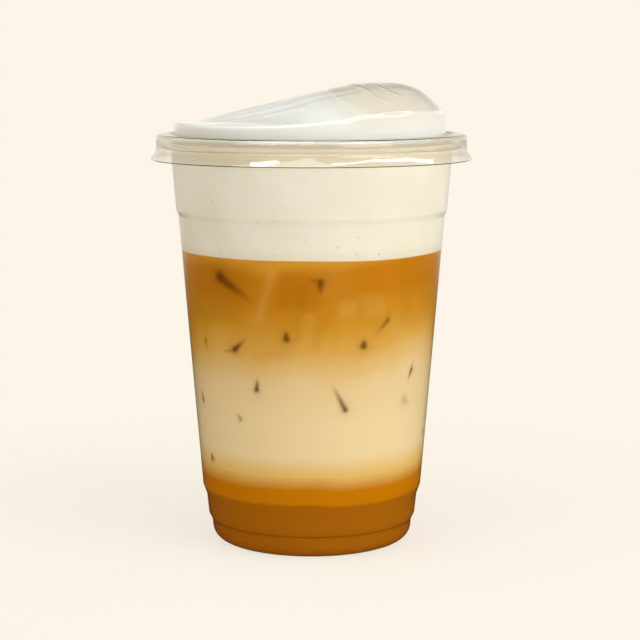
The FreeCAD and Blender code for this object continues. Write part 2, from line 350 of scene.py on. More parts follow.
def scatter_tree():
    """A copy of one small shape at each point, with that point's own turn and size."""
    graph, given = geometry_tree("A shape at each point", {
        "Points": "NodeSocketGeometry", "Shape": "NodeSocketObject", "Material": "NodeSocketMaterial"})
    shape = graph.add("GeometryNodeObjectInfo", {"Object": given["Shape"]}).out("Geometry")
    turn = graph.add("GeometryNodeInputNamedAttribute", {"Name": "turn"}, data_type="FLOAT_VECTOR")
    size = graph.add("GeometryNodeInputNamedAttribute", {"Name": "size"}, data_type="FLOAT_VECTOR")
    turn = graph.add("FunctionNodeEulerToRotation", {"Euler": turn})
    placed = graph.add("GeometryNodeInstanceOnPoints", {
        "Points": given["Points"], "Instance": shape, "Rotation": turn, "Scale": size})
    return close_tree(graph, placed, given["Material"])


# ---- meshes ---------------------------------------------------------------------------------

def add_piece(name, points, faces=(), edges=()):
    """A new mesh object from points in millimetres."""
    mesh = bpy.data.meshes.new(name)
    mesh.from_pydata([tuple(float(c) * MM for c in p) for p in points], list(edges), list(faces))
    piece = bpy.data.objects.new(name, mesh)
    bpy.context.scene.collection.objects.link(piece)
    return piece


def coordinates(piece):
    """Where the piece's vertices are, in metres, one row each."""
    spots = np.empty(len(piece.data.vertices) * 3)
    piece.data.vertices.foreach_get("co", spots)
    return spots.reshape(-1, 3)


def store(piece, name, values):
    """Keep one value for each vertex on the mesh, for its material to read."""
    piece.data.attributes.new(name, "FLOAT", "POINT").data.foreach_set("value", values)


def loose_shape(name, work):
    """A smooth object in no collection, from a bmesh that is used up."""
    mesh = bpy.data.meshes.new(name)
    work.to_mesh(mesh)
    work.free()
    mesh.shade_smooth()
    return bpy.data.objects.new(name, mesh)


def scattered(name, places, turns, sizes, shape, material, tree):
    """One piece of copies of a shape, each with its own place, turn and size in millimetres."""
    piece = add_piece(name, places)
    for label, values in (("turn", turns), ("size", np.array(sizes) * MM)):
        layer = piece.data.attributes.new(label, "FLOAT_VECTOR", "POINT")
        layer.data.foreach_set("vector", np.array(values, float).ravel())
    grow(piece, tree, Shape=shape, Material=material)
    bpy.data.objects.remove(shape)
    piece.data.shade_smooth()
    return piece


def face_out(piece, sharp_deg=40.0):
    """Normals outwards on a closed mesh, smooth faces, sharp only at real corners."""
    work = bmesh.new()
    work.from_mesh(piece.data)
    bmesh.ops.remove_doubles(work, verts=work.verts, dist=1e-7)
    bmesh.ops.recalc_face_normals(work, faces=work.faces)
    work.to_mesh(piece.data)
    work.free()
    piece.data.shade_smooth()
    piece.data.set_sharp_from_angle(angle=math.radians(sharp_deg))


def arc_points(centre, radius, start, end, steps):
    """Points of an arc in degrees, both ends included."""
    turns = np.radians(np.linspace(start, end, steps + 1))
    return [(centre[0] + radius * math.cos(t), centre[1] + radius * math.sin(t)) for t in turns]


def rounded(corners, turn_step=9.0):
    """Points of a section through (radius, height, round) corners, each turned by a tangent arc."""
    path = [np.array(corners[0][:2], float)]
    for before, corner, after in zip(corners, corners[1:], corners[2:]):
        here = np.array(corner[:2], float)
        back, ahead = (np.array(side[:2], float) - here for side in (before, after))
        back, ahead = back / np.linalg.norm(back), ahead / np.linalg.norm(ahead)
        if corner[2] == 0:
            path.append(here)
            continue
        half = 0.5 * math.acos(np.clip(back @ ahead, -1, 1))
        inward = (back + ahead) / np.linalg.norm(back + ahead)
        centre = here + inward * corner[2] / math.sin(half)
        ends = [here + side * corner[2] / math.tan(half) - centre for side in (back, ahead)]
        start, end = (math.atan2(spoke[1], spoke[0]) for spoke in ends)
        turn = (end - start + math.pi) % math.tau - math.pi
        steps = max(2, math.ceil(abs(math.degrees(turn)) / turn_step))
        for step in range(steps + 1):
            angle = start + turn * step / steps
            path.append(centre + corner[2] * np.array((math.cos(angle), math.sin(angle))))
    path.append(np.array(corners[-1][:2], float))
    return [tuple(p) for p in path]


def fine(path, step):
    """The same section with its long runs divided into steps."""
    divided = [path[0]]
    for (r0, z0), (r1, z1) in zip(path, path[1:]):
        parts = max(1, math.ceil(math.hypot(r1 - r0, z1 - z0) / step))
        divided += [(r0 + (r1 - r0) * k / parts, z0 + (z1 - z0) * k / parts) for k in range(1, parts + 1)]
    return divided


def turned(name, section, segments, material, tree):
    """A closed section of (radius, height) points turned about the axis."""
    points = [(radius, 0.0, height) for radius, height in section]
    piece = add_piece(name, points, edges=[(k, k + 1) for k in range(len(points) - 1)])
    grow(piece, tree, Points=len(points), Segments=segments, Material=material)
    face_out(piece)
    return piece


def round_turns(count):
    return np.linspace(0, math.tau, count, endpoint=False)


def ring_row(azimuths, radius, height, shift=0.0):
    """A row that goes once round, level or with a height for each azimuth, its middle shifted along X."""
    return np.stack((shift + radius * np.cos(azimuths), radius * np.sin(azimuths),
                     np.full_like(azimuths, height)), axis=1)


def ringed(name, rows, start_pole=None, end_pole=None):
    """A skin through rows of points that each go once round, closed at a pole where one is given."""
    count = len(rows[0])
    points = [tuple(p) for row in rows for p in row]
    faces = []
    for r in range(len(rows) - 1):
        for i in range(count):
            j = (i + 1) % count
            faces.append((r * count + i, r * count + j, (r + 1) * count + j, (r + 1) * count + i))
    for pole, row in ((start_pole, 0), (end_pole, len(rows) - 1)):
        if pole is not None:
            points.append(pole)
            hub = len(points) - 1
            faces += [(row * count + i, row * count + (i + 1) % count, hub) for i in range(count)]
    return add_piece(name, points, faces)


def from_run(u, v, start, end):
    """How far along a straight run each place lies, 0 to 1, and how far it is from the run."""
    run_u, run_v = end[0] - start[0], end[1] - start[1]
    t = np.clip(((u - start[0]) * run_u + (v - start[1]) * run_v) / (run_u ** 2 + run_v ** 2), 0, 1)
    return t, np.hypot(u - start[0] - t * run_u, v - start[1] - t * run_v)


def smooth_fall(x, start, end):
    """1 before start and 0 after end, smooth between."""
    t = np.clip((x - start) / (end - start), 0.0, 1.0)
    return 1.0 - t * t * (3 - 2 * t)


def along(knots, x):
    """A smooth curve through (x, value) knots, level past its ends, for arrays of x."""
    places, values = (np.array(column, float) for column in zip(*knots))
    slopes = np.empty_like(values)
    slopes[1:-1] = (values[2:] - values[:-2]) / (places[2:] - places[:-2])
    slopes[0] = (values[1] - values[0]) / (places[1] - places[0])
    slopes[-1] = (values[-1] - values[-2]) / (places[-1] - places[-2])
    x = np.clip(x, places[0], places[-1])
    k = np.clip(np.searchsorted(places, x) - 1, 0, len(places) - 2)
    span = places[k + 1] - places[k]
    t = (x - places[k]) / span
    bend = t * (1 - t) ** 2 * span * slopes[k] - t ** 2 * (1 - t) * span * slopes[k + 1]
    return values[k] + (values[k + 1] - values[k]) * t * t * (3 - 2 * t) + bend


# ---- cup and drink --------------------------------------------------------------------------

def wall_section(inset, top=None):
    """The cup's side from its axis upwards, inset from its outside, up to a height or to the rim."""
    path = [(0.0, FLOOR_Z + inset, 0), (FLOOR_R - inset, FLOOR_Z + inset, FLOOR_ROUND),
            (FOOT_IN_R - 0.4 * inset, inset, FLOOR_ROUND), (FOOT_R - inset, inset, FOOT_CORNER - inset)]
    path += [(r - inset, z, turn) for r, z, turn in WALL]
    path = rounded(path + [(MOUTH_R - inset, RIM_CENTRE[1], 0)])
    if top is None:
        return path
    return [p for p in path if p[1] < top - 0.01] + [(wall_radius(top) - inset, top)]


def wall_radius(height):
    """Outside radius of the cup's wall above the foot."""
    radii, heights = zip(*[(r, z) for r, z, _ in WALL], (MOUTH_R, RIM_CENTRE[1]))
    return float(np.interp(height, heights, radii))


def liquid_radius(height):
    return wall_radius(height) - SHEET + REACH


def make_cup(material, tree):
    roll_in = arc_points(RIM_CENTRE, RIM_ROLL - SHEET, 180.0, RIM_TUCK, 30)
    roll_out = arc_points(RIM_CENTRE, RIM_ROLL, 180.0, RIM_TUCK, 30)
    outside = fine(wall_section(0.0), CUP_STEP) + roll_in
    inside = fine(wall_section(SHEET), CUP_STEP) + roll_out
    return turned("clear_cup", outside + inside[::-1], CUP_ROUND, material, tree)


def waterline(azimuth):
    """How far the coffee's top edge strays from level round the wall."""
    return 0.6 + 0.4 * np.sin(azimuth + 0.1) + 0.14 * np.sin(3 * azimuth + 1.0) + 0.08 * np.sin(7 * azimuth)


def stir_edge(piece, level, reach=4.0):
    """Let the mesh near a level follow the uneven waterline."""
    mesh, spots = piece.data, coordinates(piece)
    azimuth = np.arctan2(spots[:, 1], spots[:, 0])
    out = np.hypot(spots[:, 0], spots[:, 1]) / MM / liquid_radius(level)
    near = np.clip(1.0 - np.abs(spots[:, 2] / MM - level) / reach, 0.0, 1.0)
    spots[:, 2] += waterline(azimuth) * near * np.clip(out, 0, 1) ** 2 * MM
    mesh.vertices.foreach_set("co", spots.ravel())
    mesh.update()


def make_layer(name, bottom, top, material, tree):
    """One layer of the drink, which reaches just into the cup's wall."""
    side, disc = wall_section(SHEET - REACH, top), []
    if bottom is not None:
        edge = (liquid_radius(bottom), bottom)
        side = [edge] + [p for p in side if p[1] > bottom]
        disc = fine([(0.0, bottom), edge], DISC_STEP)[:-1]
    section = disc + fine(side, DRINK_STEP) + fine([side[-1], (0.0, top)], DISC_STEP)[1:]
    return turned(name, section, DRINK_ROUND, material, tree)


# ---- ice ------------------------------------------------------------------------------------

def ice_shape():
    """A block of side 1 with melted, slightly bowed faces, used once for each piece of ice."""
    work = bmesh.new()
    bmesh.ops.create_cube(work, size=1.0)
    bmesh.ops.subdivide_edges(work, edges=work.edges, cuts=11, use_grid_fill=True)
    turn = ICE_ROUND / USUAL_ICE
    for vertex in work.verts:
        core = Vector([max(-0.5 + turn, min(0.5 - turn, c)) for c in vertex.co])
        spoke = vertex.co - core
        if spoke.length > 0:
            vertex.co = core + spoke.normalized() * turn
        bow = sum(0.25 - c * c for c in vertex.co) * 0.2
        vertex.co *= 1.0 + bow - 0.03 * noise.noise(vertex.co * 3.0)
    return loose_shape("ice_shape", work)


def ice_axes(azimuth, lean, roll):
    """Axes of a block whose corner points out at the wall, one edge running back along the lean."""
    out = Vector((math.sin(azimuth), -math.cos(azimuth), -WALL_TAPER)).normalized()
    side = Vector((math.cos(azimuth), math.sin(azimuth), 0))
    up = side.cross(out).normalized()
    if up.z < 0:
        up = -up
    run = up * math.cos(lean) + side * math.sin(lean)
    edge = (run - out * math.tan(math.radians(ICE_TILT))).normalized()
    inward = (edge * out.dot(edge) - out).normalized()
    across = edge.cross(inward)
    spread = math.radians(45.0) + roll
    second = inward * math.cos(spread) + across * math.sin(spread)
    return out, Matrix((edge, second, edge.cross(second))).transposed()


def stroke(lean, tail, head, strength):
    """A mark's way from its head along one edge: (sideways, up, width, strength), thinning to its end."""
    run = math.sin(math.radians(lean)) * tail, math.cos(math.radians(lean)) * tail
    return ((0, 0, head, strength), (0.4 * run[0], 0.4 * run[1], 0.7 * head, 0.85 * strength),
            (run[0], run[1], 0.4 * head, 0.1))


def ice_contacts():
    """The contacts that show, then seeded ones round the back in the same manner."""
    draw = np.random.default_rng(ICE_SEED)
    contacts = [(azimuth, height, stand, tails[0][0], size,
                 [stroke(*tail, head * share, strength * share) for share, tail in zip(TAIL_SHARES, tails)])
                for azimuth, height, stand, size, head, strength, *tails in ICE]
    for k in range(BACK_ICE):
        azimuth = BACK_ICE_ARC[0] + BACK_ICE_ARC[1] * ((k * 0.382 + 0.1) % 1.0)
        height = BACK_ICE_LEVELS[0] + BACK_ICE_LEVELS[1] * (k + 0.5) / BACK_ICE + draw.uniform(-2, 2)
        lean, tail = draw.uniform(-70, 70), draw.uniform(2.5, 7)
        head, strength = draw.uniform(0.4, 0.9), draw.uniform(0.5, 0.95)
        contacts.append((azimuth, height, draw.uniform(-0.1, 0.07), lean, draw.uniform(11, 14),
                         [stroke(lean, tail, head, strength)]))
    return contacts


def place_ice(shape, contacts):
    """Centre, turn and size of every block, its corner at its contact."""
    draw = np.random.default_rng(ICE_SEED + 1)
    corners = np.array([tuple(v.co) for v in shape.data.vertices])
    blocks = []
    for azimuth, height, stand, lean, size, _ in contacts:
        roll = math.radians(draw.uniform(-ICE_ROLL, ICE_ROLL))
        out, axes = ice_axes(math.radians(azimuth), math.radians(lean), roll)
        sizes = size * np.array((1.0, draw.uniform(0.8, 1.0), draw.uniform(0.8, 1.0)))
        hull = (corners * sizes) @ np.array(axes).T
        level = Vector((out.x, out.y, 0)).normalized()
        head = hull[np.argmax(hull @ np.array(out))]
        centre = np.array(level) * liquid_radius(height) + np.array((0, 0, height)) - head
        placed = hull + centre
        excess = np.hypot(placed[:, 0], placed[:, 1]) - [liquid_radius(z) for z in placed[:, 2]]
        centre -= np.array(level) * (excess.max() - stand)
        blocks.append((centre, axes.to_euler(), sizes))
    return blocks


def make_ice(contacts, material, tree):
    shape = ice_shape()
    places, turns, sizes = zip(*place_ice(shape, contacts))
    return scattered("ice", places, [tuple(turn) for turn in turns], sizes, shape, material, tree)


def wall_places(piece):
    """Azimuth in degrees from the front, height and distance from the axis of every vertex."""
    x, y, z = coordinates(piece).T / MM
    return np.degrees(np.arctan2(x, -y)), z, np.hypot(x, y)


def off_centre(azimuth, centre):
    """Degrees from a centre azimuth, the short way round."""
    return (azimuth - centre + 180) % 360 - 180


def stain(azimuth, height, radius, contacts):
    """Darkness where ice shows through the last film of liquid: soft along its edges, crisp at its head."""
    dark = np.zeros_like(azimuth)
    for centre, level, _, _, _, strokes in contacts:
        across, up = np.radians(off_centre(azimuth, centre)) * radius, height - level
        near = (np.abs(across) < STAIN_REACH[0]) & (np.abs(up) < STAIN_REACH[1])
        u, v = across[near], up[near]
        for mark in strokes:
            for start, end in zip(mark, mark[1:]):
                t, away = from_run(u, v, start, end)
                (_, _, w0, s0), (_, _, w1, s1) = start, end
                away /= STAIN_SPREAD * (w0 + (w1 - w0) * t)
                fade = 0.75 * np.exp(-away ** 3) + 0.25 * np.exp(-(away / 2.2) ** 2)
                dark[near] = np.maximum(dark[near], (s0 + (s1 - s0) * t) * fade)
    return dark


def slab(azimuth, height, wide, tall, slant):
    """Corners of a leaning face of ice, as (azimuth, height)."""
    return [(azimuth + (across * wide + up * slant) / 2, height + up * tall / 2)
            for across, up in ((-1, 1), (1, 1), (1, -1), (-1, -1))]


def swells(places, azimuth):
    """Sum of rounded rises, each (azimuth, half width, rise), for arrays of azimuth."""
    return sum(rise * np.exp(-(off_centre(azimuth, centre) / wide) ** 2) for centre, wide, rise in places)


def facet_tone(azimuth, height, radius):
    """Sum of the painted light and shade of the ice faces seen through the liquid, those in front and seeded
    ones round the back.
    """
    draw = np.random.default_rng(ICE_SEED + 2)
    facets = [(tone, soft, *slab(*place)) for tone, soft, *place in FACETS]
    for k in range(BACK_FACETS):
        centre = BACK_FACET_ARC[0] + BACK_FACET_ARC[1] * ((k * 0.618) % 1.0)
        level = draw.uniform(68, 90)
        turn, wide, tall = draw.uniform(0, 90), draw.uniform(4, 11), draw.uniform(4, 9)
        corners = [(centre + wide * math.cos(math.radians(turn + q)) * 1.4,
                    level + tall * math.sin(math.radians(turn + q))) for q in (0, 80, 175, 260)]
        facets.append((draw.choice((-0.6, -0.35, 0.35, 0.5)), draw.uniform(0.6, 2.0), *corners))
    total = np.zeros_like(azimuth)
    for tone, soft, *corners in facets:
        centre = sum(a for a, _ in corners) / len(corners)
        across = np.radians(off_centre(azimuth, centre)) * radius
        near = np.abs(across) < FACET_REACH
        u, v = across[near], height[near]
        outline = [(math.radians(a - centre) * FACET_R, z) for a, z in corners]
        inside, away = np.zeros(len(u), bool), np.full(len(u), 99.0)
        for start, end in zip(outline, outline[1:] + outline[:1]):
            away = np.minimum(away, from_run(u, v, start, end)[1])
            (u0, v0), (u1, v1) = start, end
            crosses = (v0 > v) != (v1 > v)
            inside ^= crosses & (u < (u1 - u0) * (v - v0) / ((v1 - v0) or 1e-9) + u0)
        depth, soft = np.where(inside, away, -away), soft + 0.5
        total[near] += tone * (1 - smooth_fall(depth, -soft, soft))
    return total


def paint_layer(layer, contacts):
    """Store on a layer of drink how far its colours have drifted, its ice stains and the painted light and
    shade of its ice faces.
    """
    azimuth, height, radius = wall_places(layer)
    drift = swells(MILK_DRIFT, azimuth) * (1 - smooth_fall(height, *MILK_DRIFT_FROM))
    drift += swells(AMBER_DRIFT, azimuth) * smooth_fall(height, *AMBER_DRIFT_TO)
    outer = radius > CORE_R
    store(layer, "drift", drift)
    store(layer, "ice_stain", stain(azimuth, height, radius, contacts) * outer)
    store(layer, "facet", facet_tone(azimuth, height, radius) * outer)


def even_steps(layer, share=0.45):
    """Liquid scatters light past the cup's small steps, so its shading hardly follows them."""
    mesh, spots = layer.data, coordinates(layer)
    own = np.empty(spots.size)
    mesh.vertex_normals.foreach_get("vector", own)
    own = own.reshape(-1, 3)
    radius = np.maximum(np.hypot(spots[:, 0], spots[:, 1]), 1e-6)
    level = np.stack((spots[:, 0] / radius, spots[:, 1] / radius, np.full(len(spots), -WALL_TAPER)), axis=1)
    side = (radius > 0.0315) & (spots[:, 2] > 0.003) & (np.abs(own[:, 2]) < 0.9)
    blend = own + (level - own) * share * side[:, None]
    blend /= np.linalg.norm(blend, axis=1)[:, None]
    mesh.normals_split_custom_set_from_vertices([tuple(n) for n in blend])


# ---- lid and foam ---------------------------------------------------------------------------

def fold_height(x, y):
    """The folds pressed into both flanks of the spout."""
    total = np.zeros_like(x)
    y = np.abs(y)
    for start, end, height, width in FOLDS:
        near, away = from_run(x, y, start, end)
        fade = np.sin(math.pi * np.clip(0.12 + 0.76 * near, 0, 1))
        total += FOLD_DEPTH * height * fade * np.exp(-(away / width) ** 2)
    return total


def spout_height(x, y):
    """Height of the drum's top: its shoulder, the spout swelling out of it, and the folds."""
    shoulder = along(SHOULDER, x)
    flank = np.maximum(TAIL_W + TAIL_SPREAD * (x - TAIL_X), 4.0)
    out = np.hypot(x - DRUM_X, y) / DRUM_R
    swell = along(SWELL, x) * np.exp(-(y / flank) ** 2) * (1.0 - out ** EDGE_POWER)
    return shoulder + swell + fold_height(x, y) * np.clip(2.0 - 2.0 * out, 0, 1)


def drum_radius(height, inset):
    return DRUM_R - inset - (height - DRUM_Z) * DRUM_DRAFT


def drum_rows(azimuths, inset, count, foam=False):
    """Rows from near the drum's middle out over its top and shoulder and down its wall."""
    cosine, sine = np.cos(azimuths), np.sin(azimuths)
    edge_r = drum_radius(DRUM_EDGE_Z, inset)
    turn = SHOULDER_ROUND - 0.5 * inset
    rows = []

    def top(radius):
        x, y = DRUM_X + radius * cosine, radius * sine
        height = spout_height(x, y) - inset
        if foam:
            height = np.minimum(height, foam_height(x, y))
        return np.stack((x, y, height), axis=1)

    flat_r = edge_r - turn
    for share in np.linspace(1 / count, 1.0, count):
        rows.append(top(flat_r * share ** 0.9))
    edge_z = top(edge_r)[:, 2] if not foam else top(flat_r)[:, 2]
    start, low_z = rows[-1], edge_z - turn
    corner = ring_row(azimuths, drum_radius(edge_z, inset), edge_z, DRUM_X)
    low = ring_row(azimuths, drum_radius(low_z, inset), low_z, DRUM_X)
    for t in np.linspace(0, 1, 9)[1:]:
        rows.append(start * (1 - t) ** 2 + corner * 2 * t * (1 - t) + low * t * t)
    return rows


def wall_rows(azimuths, inset, low_z, bottom, count):
    """Rows down the drum's wall from each point's own height to a level bottom."""
    rows = []
    for share in np.linspace(0, 1, count + 1)[1:]:
        height = low_z * (1 - share) + bottom * share
        rows.append(ring_row(azimuths, drum_radius(height, inset), height, DRUM_X))
    return rows


def make_lid(material):
    """The lid's upper skin from the middle of the spout out to the skirt's tip, thickened inwards."""
    azimuths = round_turns(LID_ROUND)
    rows = drum_rows(azimuths, 0.0, LID_ROWS[0])
    rows += wall_rows(azimuths, 0.0, rows[-1][:, 2], GUTTER_Z + GUTTER_ROUND, LID_ROWS[1])
    foot_r = drum_radius(GUTTER_Z, 0.0)
    inner_r = RIM_CENTRE[0] - RIM_ROLL - LID_SHEET
    gutter = ((foot_r + 0.08, GUTTER_Z + 0.08, DRUM_X), (foot_r + 0.3, GUTTER_Z, 0.5 * DRUM_X),
              (inner_r - 0.08, GUTTER_Z + 0.08, 0.0))
    rows += [ring_row(azimuths, *ring) for ring in gutter]
    section = arc_points(RIM_CENTRE, RIM_ROLL + LID_SHEET, 180.0, 90.0, 12)
    section += rounded([(RIM_CENTRE[0], CREST_Z, 0), (CHANNEL_R, CREST_Z - CHANNEL_DROP, CREST_ROUND),
                        (CHANNEL_R, CHANNEL_Z, CHANNEL_ROUND), (*SKIRT_FLARE, 20.0), (*SKIRT_TIP, 0)],
                       turn_step=12.0)[1:]
    rows += [ring_row(azimuths, radius, height) for radius, height in fine(section, SKIN_STEP)]
    middle = (DRUM_X, 0.0, float(spout_height(np.array([DRUM_X]), np.array([0.0]))[0]))
    lid = ringed("clear_lid", rows, start_pole=middle)
    work = bmesh.new()
    work.from_mesh(lid.data)
    bmesh.ops.recalc_face_normals(work, faces=work.faces)
    if max(work.faces, key=lambda face: face.calc_center_median().z).normal.z < 0:
        bmesh.ops.reverse_faces(work, faces=work.faces)
    work.to_mesh(lid.data)
    work.free()
    thick = lid.modifiers.new("Sheet", "SOLIDIFY")
    thick.thickness, thick.offset, thick.use_even_offset = LID_SHEET * MM, -1.0, True
    settle(lid)
    cut_sip_hole(lid)
    lid.data.materials.clear()
    lid.data.materials.append(material)
    face_out(lid)
    return lid


def cut_sip_hole(lid):
    """Cut the drop-shaped sip hole through the spout."""
    wide = 0.5 * SIP_WIDTH
    narrow = SIP_TAPER * wide
    lip_side, inner_side = SIP_X + 0.5 * SIP_LENGTH - wide, SIP_X - 0.5 * SIP_LENGTH + narrow
    touch = 90.0 + math.degrees(math.asin((wide - narrow) / (lip_side - inner_side)))
    outline = arc_points((lip_side, 0), wide, -touch, touch, 30)
    outline += arc_points((inner_side, 0), narrow, touch, 360 - touch, 16)
    count = len(outline)
    points = [(x, y, z) for z in (FOAM_REST, 160.0) for x, y in outline]
    sides = [(k, (k + 1) % count, count + (k + 1) % count, count + k) for k in range(count)]
    cutter = add_piece("cutter", points, sides + [tuple(range(count))[::-1], tuple(range(count, 2 * count))])
    face_out(cutter)
    cut = lid.modifiers.new("Sip hole", "BOOLEAN")
    cut.object, cut.operation, cut.solver = cutter, "DIFFERENCE", "EXACT"
    settle(lid)
    bpy.data.objects.remove(cutter)


def foam_height(x, y):
    """The foam's free surface: a heap behind the spout, then an uneven level under it."""
    uneven = 0.35 * np.sin(0.31 * x + 0.9) * np.sin(0.27 * y + 0.4)
    uneven += 0.15 * np.sin(0.83 * x) * np.cos(0.71 * y)
    heap = FOAM_HEAP * smooth_fall(x, HEAP_FROM, HEAP_TO)
    return FOAM_REST + heap - FOAM_CROWN * y * y + uneven - FOAM_SINK


def make_foam(material):
    """Foam from the coffee's top, up the cup, under the gutter and into the drum and spout."""
    azimuths = round_turns(FOAM_ROUND)
    inset = LID_SHEET - REACH
    rows = drum_rows(azimuths, inset, FOAM_ROWS[0], foam=True)
    rows += wall_rows(azimuths, inset, rows[-1][:, 2], FOAM_NECK_Z + REACH, FOAM_ROWS[1])
    rows.append(ring_row(azimuths, liquid_radius(FOAM_NECK_Z), FOAM_NECK_Z + REACH))
    side = [p for p in fine(wall_section(SHEET - REACH, FOAM_NECK_Z), SKIN_STEP) if p[1] > COFFEE_TOP]
    side = side[::-1] + [(liquid_radius(COFFEE_TOP), COFFEE_TOP)]
    rows += [ring_row(azimuths, radius, height) for radius, height in side]
    rows += [ring_row(azimuths, liquid_radius(COFFEE_TOP) * share, COFFEE_TOP) for share in (0.8, 0.5, 0.2)]
    middle = np.array([DRUM_X]), np.array([0.0])
    crown = float(min(spout_height(*middle)[0] - inset, foam_height(*middle)[0]))
    foam = ringed("cream_foam", rows, (DRUM_X, 0.0, crown), (0.0, 0.0, COFFEE_TOP))
    x, y, z = coordinates(foam).T / MM
    # Painted shade: greyer near the free surface, where the foam falls away behind an air gap.
    store(foam, "thin", smooth_fall(foam_height(x, y) - z, 0.0, FOAM_SHADE_DEPTH))
    foam.data.materials.append(material)
    face_out(foam, 60.0)
    return foam


def make_bubbles(material, tree):
    """Small bubbles caught between the foam and the wall, most of them low down."""
    draw = np.random.default_rng(BUBBLE_SEED)
    spots, sizes = [], []
    for _ in range(BUBBLES):
        azimuth, height = draw.uniform(0, math.tau), COFFEE_TOP + 2.0 + BUBBLE_BAND * draw.random() ** 2.2
        radius = liquid_radius(height) + 0.02
        spots.append((radius * math.cos(azimuth), radius * math.sin(azimuth), height))
        size = draw.uniform(*BUBBLE_SIZES)
        sizes.append((size, size, size * draw.uniform(0.5, 0.9)))
    work = bmesh.new()
    bmesh.ops.create_icosphere(work, subdivisions=2, radius=1.0)
    turns = np.zeros((len(spots), 3))
    return scattered("foam_bubbles", spots, turns, sizes, loose_shape("bubble", work), material, tree)


# ---- materials ------------------------------------------------------------------------------

# Tint, roughness and waviness of the two sheets.
CUP_PLASTIC = (0.985, 0.985, 0.975), 0.03, 0.05
LID_PLASTIC = (0.97, 0.945, 0.89), 0.04, 0.08

# AMBER_LIT and COFFEE_LIT are painted light: the amber lighter above the steps, and the coffee lighter just
# under the foam, which lights it.
AMBER, AMBER_LIT, CARAMEL = colour4(168, 99, 12), colour4(197, 120, 4), colour4(229, 189, 108)
MILK_CREAM, MILK_STAINED = colour4(238, 214, 165), colour4(232, 202, 148)
TOFFEE, BLEND = colour4(218, 168, 78), colour4(205, 145, 40)
COFFEE, COFFEE_LIT = colour4(196, 124, 20), colour4(215, 150, 45)
# Tones the liquid turns to, milkier and clearer, which also carry the painted light and shade of the ice
# faces.
MILKY_AND_LIT, CLEARER_AND_SHADED = colour4(238, 192, 116), colour4(160, 90, 4)
# The first colour here is painted shade along the lowest step of the wall.
CREASE_SHADE, ICE_MARK = colour4(96, 50, 0), colour4(106, 61, 8)
CREAM, DEEP_CREAM = colour4(243, 238, 223), colour4(239, 232, 213)
# The second colour here is painted shade where the rim and the lid's skirt cover the foam.
COFFEE_CREAM, NECK_SHADE = colour4(226, 205, 165), colour4(210, 192, 156)
# The second colour here is painted grey shade near the foam's free surface.
LID_FOAM, FOAM_SHADE_GREY = colour4(245, 246, 241), colour4(224, 217, 202)
ICE_DARK, ICE_LIGHT = colour4(104, 60, 8), colour4(128, 80, 20)
# The bubble tones are painted shade: air pockets at the wall look greyer than the foam round them.
BUBBLE_DARK, BUBBLE_LIGHT = colour4(196, 178, 140), colour4(222, 208, 174)
# The last colour here is the warm glow that the plastic mirrors of the floor near the cup, a painted
# reflection.
PAPER, PAPER_GRAIN, UNDER_CUP_REFLECTION = colour4(252, 245, 232), colour4(250, 242, 228), colour4(240, 205, 160)

# The drink from the foot up: the height at which each colour is met. Between them the colours blend evenly.
STEP_TOP = WALL[3][1]            # above it the wall leans out, and the amber is painted lighter for the light it catches
DRINK_COLOURS = (
    (3, AMBER), (STEP_TOP - 1, AMBER), (STEP_TOP, AMBER_LIT), (BASE_TOP - 5, AMBER_LIT), (BASE_TOP, CARAMEL),
    (BASE_TOP + 6, MILK_CREAM), (43, MILK_CREAM), (MILK_TOP - 10, MILK_STAINED), (MILK_TOP, TOFFEE),
    (MILK_TOP + 8, BLEND), (MILK_TOP + 18, COFFEE), (COFFEE_TOP - 4, COFFEE), (COFFEE_TOP, COFFEE_LIT))
CREASE_Z = 7.3                   # height of a painted dark line where the lowest step of the wall bends the light
# Heights over which a look sets in or dies away.
SWIRL_IN, SWIRL_OUT, COFFEE_IN = (44, 60), (80, 92), (62, 72)
NECK_IN, NECK_OUT, LID_FOAM_IN = (122.0, 125.0), (130.0, 133.0), (128.0, 133.0)

def clear_plastic(name, tint, roughness, waves):
    """Clear drawn sheet with faint draw marks. Light for the contents passes straight through."""
    material, graph = shader(name)
    marks = graph.mottle(260.0, stretch=(1, 1, 0.3))
    sheet = graph.coat(Base_Color=(*tint, 1.0), Roughness=roughness + 0.03 * marks, IOR=1.5,
                       Transmission_Weight=1.0, Normal=graph.bump(graph.mottle(120.0), waves, 0.0002))
    clear = graph.add("ShaderNodeBsdfTransparent", {"Color": (0.99, 0.99, 0.985, 1.0)})
    path = graph.add("ShaderNodeLightPath")
    inner = graph.add("ShaderNodeMixShader", {0: path.out("Is Diffuse Ray"), 1: sheet, 2: clear})
    outer = graph.add("ShaderNodeMixShader", {0: path.out("Is Shadow Ray"), 1: inner, 2: clear})
    return surfaced(material, graph, outer)


